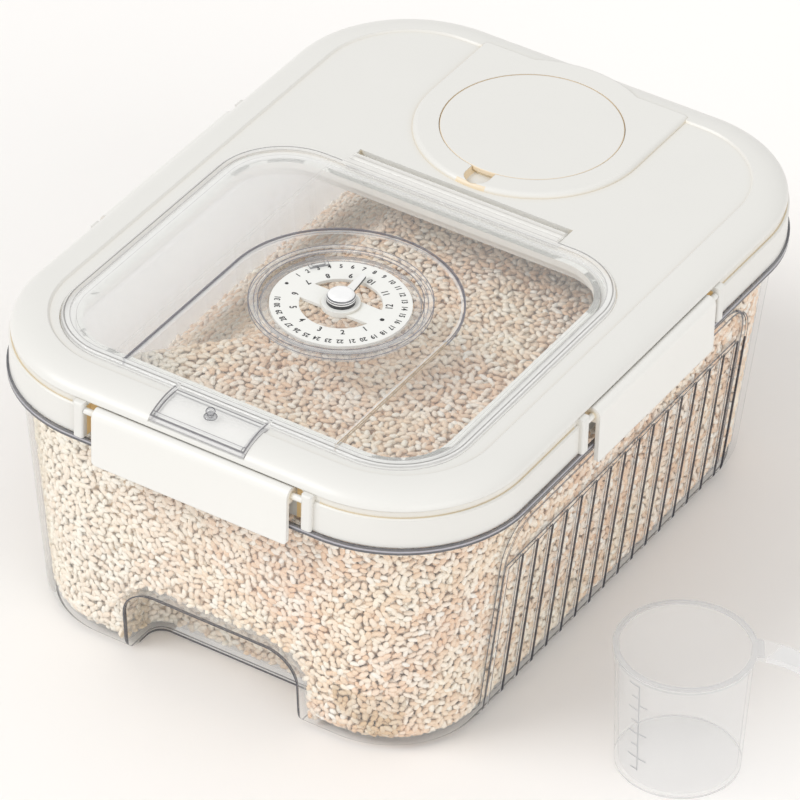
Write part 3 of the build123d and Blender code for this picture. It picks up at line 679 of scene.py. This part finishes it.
def pour(name, keep, template, gap, seed, deeper=0.0):
    """Grains over the part of the rice's surface that keep(face centre, normal) picks, as one mesh."""
    bed = rice_copy(name + "_bed", 0.0)
    form = bmesh.new()
    form.from_mesh(bed.data)
    unwanted = [f for f in form.faces if not keep(f.calc_center_median(), f.normal)]
    bmesh.ops.delete(form, geom=unwanted, context="FACES")
    form.to_mesh(bed.data)
    form.free()
    pouring = bed.modifiers.new("pour", "NODES")
    pouring.node_group = pour_group(template, gap, seed, deeper)
    ready = bed.evaluated_get(bpy.context.evaluated_depsgraph_get())
    mesh = bpy.data.meshes.new_from_object(ready)
    grains = bpy.data.objects.new(name, mesh)
    bpy.context.scene.collection.objects.link(grains)
    bpy.data.objects.remove(bed)
    dress(grains, rice_skin)
    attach(grains, "tub")
    print(name, "triangles:", sum(len(p.vertices) - 2 for p in mesh.polygons))


def wall(p, n):
    """Whether a face is neither the rice's top nor its underside."""
    return -0.5 < n.z <= 0.4


# Faces are picked by their centre p, in metres, and their normal n.
areas = {
    "rice_top_left": (lambda p, n: n.z > 0.4 and p.x < -0.04, fine_grain),
    "rice_top_middle": (lambda p, n: n.z > 0.4 and -0.04 <= p.x < 0.04, fine_grain),
    "rice_top_right": (lambda p, n: n.z > 0.4 and p.x >= 0.04, fine_grain),
    "rice_front": (lambda p, n: wall(p, n) and p.y < -0.12, fine_grain),
    "rice_right_front": (lambda p, n: wall(p, n) and p.x > 0 and -0.12 <= p.y < 0.02, fine_grain),
    "rice_right_back": (lambda p, n: wall(p, n) and p.x > 0 and 0.02 <= p.y < 0.14, fine_grain),
    "rice_left_front": (lambda p, n: wall(p, n) and p.x <= 0 and -0.12 <= p.y < 0.02, fine_grain),
    "rice_left_back": (lambda p, n: wall(p, n) and p.x <= 0 and 0.02 <= p.y < 0.14, fine_grain),
    "rice_back": (lambda p, n: wall(p, n) and p.y >= 0.14, plain_grain),
    "rice_under_left": (lambda p, n: n.z <= -0.5 and p.x < 0, plain_grain),
    "rice_under_right": (lambda p, n: n.z <= -0.5 and p.x >= 0, plain_grain),
}
for index, (name, (keep, template)) in enumerate(areas.items()):
    pour(name, keep, template, TOP_GAP, seed=11 * index + 3)
second_layer = {
    "rice_below_top_left": lambda p, n: n.z > 0.4 and p.x < 0,
    "rice_below_top_right": lambda p, n: n.z > 0.4 and p.x >= 0,
    "rice_behind_front": lambda p, n: wall(p, n) and p.y < -0.12,
    "rice_behind_right": lambda p, n: wall(p, n) and p.x > 0 and -0.12 <= p.y < 0.14,
    "rice_behind_left": lambda p, n: wall(p, n) and p.x <= 0 and -0.12 <= p.y < 0.14,
}
for index, (name, keep) in enumerate(second_layer.items()):
    pour(name, keep, plain_grain, LOWER_GAP, seed=17 * index + 201, deeper=LOWER_DEPTH)
for spare in (fine_grain, plain_grain):
    bpy.data.objects.remove(spare)
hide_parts("rice_fill")

# %% [markdown]
# The dial's numbers are printed on the plate: the days of a month outside, reading outwards, and the
# months inside, reading inwards. A text curve is the natural start. Each number is made a mesh, turned to
# its place on the ring and joined with the others, a few hundredths of a millimetre above the plate.


# %% Dial numbers
# Angles are in degrees clockwise from the rear; radii and heights are in metres.
DAY_RADIUS, DAY_HEIGHT, FIRST_DAY, DAY_STEP = 0.0295, 0.0028, -75, 10.63
MONTH_RADIUS, MONTH_HEIGHT, MONTHS_FROM, MONTH_STEP = 0.0226, 0.0034, 90, 27.69
LETTER_WEIGHT, LETTER_SQUEEZE, BODY_PER_HEIGHT = 0.0001, 0.86, 1.38
RIM_RISE = 0.0012


def matt_paint(name, size, first, second):
    """A plain finish that wanders between two colours in blotches of a size."""
    r = Recipe(name)
    cloud = r.noise(size)
    inputs = {"Base Color": r.mix(cloud, first, second), "Roughness": 0.4 + cloud * 0.1}
    return r.finish(r.node("ShaderNodeBsdfPrincipled", None, inputs))


def number_mesh(text, height):
    """A number as flat printed ink, so high in metres."""
    curve = bpy.data.curves.new("number", "FONT")
    curve.body, curve.size, curve.offset = text, height * BODY_PER_HEIGHT, LETTER_WEIGHT
    curve.align_x, curve.align_y, curve.extrude = "CENTER", "CENTER", 0.00002
    curve.resolution_u = 3
    holder = bpy.data.objects.new("number", curve)
    bpy.context.scene.collection.objects.link(holder)
    bpy.context.view_layer.update()
    mesh = bpy.data.meshes.new_from_object(holder.evaluated_get(bpy.context.evaluated_depsgraph_get()))
    bpy.data.objects.remove(holder)
    return mesh


plate_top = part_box("dial_plate")[1].z - RIM_RISE
marks = [(str(day), FIRST_DAY + DAY_STEP * (day - 1), DAY_RADIUS, DAY_HEIGHT, 0) for day in range(1, 32)]
marks += [(str(month), MONTHS_FROM + MONTH_STEP * month, MONTH_RADIUS, MONTH_HEIGHT, 180)
          for month in range(1, 13)]


def numbers_form(form):
    for text, clockwise, radius, height, flip in marks:
        mesh = number_mesh(text, height)
        before = set(form.verts)
        form.from_mesh(mesh)
        fresh = [v for v in form.verts if v not in before]
        bpy.data.meshes.remove(mesh)
        squeeze = Matrix.Diagonal((LETTER_SQUEEZE, 1, 1, 1))
        place = (Matrix.Translation((DIAL.x, DIAL.y, plate_top + 0.00004))
                 @ Matrix.Rotation(math.radians(-clockwise), 4, "Z") @ Matrix.Translation((0, radius, 0))
                 @ Matrix.Rotation(math.radians(flip), 4, "Z") @ squeeze)
        bmesh.ops.transform(form, matrix=place, verts=fresh)


def dots_form(form):
    """Round marks that part the two rings' last numbers from their first."""
    for clockwise, radius, size in ((-91.5, DAY_RADIUS, 0.0009), (MONTHS_FROM, MONTH_RADIUS, 0.0011)):
        angle = math.radians(90 - clockwise)
        spot = (DIAL.x + radius * math.cos(angle), DIAL.y + radius * math.sin(angle), plate_top + 0.00006)
        place = Matrix.Translation(spot)
        bmesh.ops.create_circle(form, cap_ends=True, segments=20, radius=size, matrix=place)


dial_ink = matt_paint("dial_ink", 0.0012, ink(28, 28, 30), ink(44, 44, 46))
numbers = shaped("dial_numbers", numbers_form)
dots = shaped("dial_dots", dots_form)
dress(dots, dial_ink)
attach(dots, "window")
dress(numbers, dial_ink)
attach(numbers, "window")
print("numbers:", len(marks))

# %% [markdown]
# On the pull tab sits a small clear catch, a post with a ball end. Its place is found by looking straight
# down onto the tab, so that it stays on it if the window changes.


# %% Catch on the pull tab
ABOVE_TAB = (0, -0.166, 0.3)
# The foot, the post and the ball end, as radius, height of the middle and how flat the ball is.
CATCH_BALLS = ((0.0032, 0.0005, 0.3), (0.0016, 0.0016, 1.0), (0.0023, 0.0034, 0.8))


def catch_form(form):
    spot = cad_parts["flip_window"].ray_cast(ABOVE_TAB, (0, 0, -1))[1]
    for radius, lift, squash in CATCH_BALLS:
        place = Matrix.Translation(spot + Vector((0, 0, lift))) @ Matrix.Diagonal((1, 1, squash, 1))
        bmesh.ops.create_uvsphere(form, u_segments=20, v_segments=12, radius=radius, matrix=place)
    for face in form.faces:
        face.smooth = True


catch = shaped("pull_tab_catch", catch_form)
dress(catch, clear_plastic("clear_catch_plastic", 0.3, ink(200, 200, 202), None, (0.2, 0.7), NAVY, 0.8))
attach(catch, "window")
print("catch at", [round(v * 1000, 1) for v in catch.data.vertices[0].co])

# %% [markdown]
# The cup is clear too, but greyer and softer than the tub. Its scale is a raised line with ticks on the
# side, drawn as thin bars that follow the round wall: each bar is a box, cut along its length and wrapped
# round the cup.


# %% Measuring cup
CUP = Vector((0.205, -0.082, 0))
CUP_FOOT_RADIUS, CUP_MOUTH_RADIUS, CUP_HEIGHT = 0.0295, 0.032, 0.067
CUP_RIMS, HANDLE_FROM = ((0.6, 0.6), (66.7, 0.35)), 240
SCALE_TURN, SCALE_RADIUS, SCALE_RISE, BAR_DEPTH, HALF_BAR = -100, 0.031, 0.0001, 0.0004, 0.0002
FIRST_TICK, TICK_STEP = 0.0112, 0.0071


def cup_layers(r):
    """Greyer lines at the cup's foot and mouth, and its handle."""
    x, y, z = r.spot()
    return [(lines_at(z, CUP_RIMS) * 0.5, ink(130, 130, 134)), ((x > HANDLE_FROM) * 0.4, ink(205, 206, 209))]


cup_plastic = clear_plastic("clear_cup_plastic", 0.11, ink(255, 255, 255), cup_layers, (0.82, 0.99),
                            ink(150, 150, 156), 0.55)
dress("measuring_cup", cup_plastic)


def cup_radius(z):
    return CUP_FOOT_RADIUS + (CUP_MOUTH_RADIUS - CUP_FOOT_RADIUS) * z / CUP_HEIGHT


def scale_form(form):
    """The scale's upright line, eight ticks on one side of it and three on the other."""
    start = math.radians(SCALE_TURN)

    def bar(low, high, first, last):
        part = bmesh.new()
        bmesh.ops.create_cube(part, size=1.0)
        long_edges = [e for e in part.edges if abs(e.verts[0].co.x - e.verts[1].co.x) > 0.5]
        bmesh.ops.subdivide_edges(part, edges=long_edges, cuts=5, use_grid_fill=True)
        for v in part.verts:
            z = low + (v.co.z + 0.5) * (high - low)
            angle = start + (first + (v.co.x + 0.5) * (last - first)) / SCALE_RADIUS
            out = cup_radius(z) + SCALE_RISE + v.co.y * BAR_DEPTH
            v.co = (CUP.x + out * math.cos(angle), CUP.y + out * math.sin(angle), z)
        mesh = bpy.data.meshes.new("bar")
        part.to_mesh(mesh)
        part.free()
        form.from_mesh(mesh)
        bpy.data.meshes.remove(mesh)

    bar(0.0105, 0.0612, -HALF_BAR, HALF_BAR)
    for index in range(8):
        z = FIRST_TICK + index * TICK_STEP
        length = 0.0042 if index % 2 == 0 else 0.0062
        bar(z - HALF_BAR, z + HALF_BAR, -length, 0)
    for z in (0.018, 0.033, 0.050):
        bar(z - HALF_BAR, z + HALF_BAR, 0.0006, 0.0048)
    bmesh.ops.recalc_face_normals(form, faces=form.faces)


scale = shaped("cup_scale", scale_form)
dress(scale, matt_paint("cup_scale", 0.002, ink(178, 178, 180), ink(196, 196, 198)))
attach(scale, "cup")

# %% [markdown]
# The studio is a pale sweep under soft light: a bright even sky, a soft sun up on the left and a weak one
# low on the right. The floor's colour gives the background, so the box keeps its own soft shadow on it.

# %% Floor and light
SWEEP_SIZE, SKY_COLOUR, SKY_STRENGTH = 6.0, (1.0, 0.995, 0.985, 1), 0.75


def floor_form(form):
    bmesh.ops.create_grid(form, x_segments=1, y_segments=1, size=SWEEP_SIZE)


floor = shaped("floor", floor_form)
sweep = Recipe("pale_sweep")
sweep_tone = sweep.mix(sweep.noise(0.4), ink(249, 247, 245), ink(248, 246, 244))
sweep_inputs = {"Base Color": sweep_tone, "Roughness": 0.9, "Specular IOR Level": 0.1}
dress(floor, sweep.finish(sweep.node("ShaderNodeBsdfPrincipled", None, sweep_inputs)))

world = bpy.data.worlds.new("studio")
world.use_nodes = True
sky = world.node_tree.nodes["Background"]
sky.inputs[0].default_value, sky.inputs[1].default_value = SKY_COLOUR, SKY_STRENGTH
bpy.context.scene.world = world


def sun(name, towards, strength, softness):
    """A lamp so far off that only its direction counts. It stands where towards points."""
    light = bpy.data.lights.new(name, "SUN")
    light.energy, light.angle = strength, math.radians(softness)
    holder = bpy.data.objects.new(name, light)
    holder.rotation_euler = Vector(towards).to_track_quat("Z", "Y").to_euler()
    bpy.context.scene.collection.objects.link(holder)


sun("key", (-0.5, -0.5, 0.7), strength=1.2, softness=30)
sun("fill", (0.85, -0.4, 0.3), strength=0.75, softness=50)
bpy.context.scene.view_settings.view_transform = "Standard"
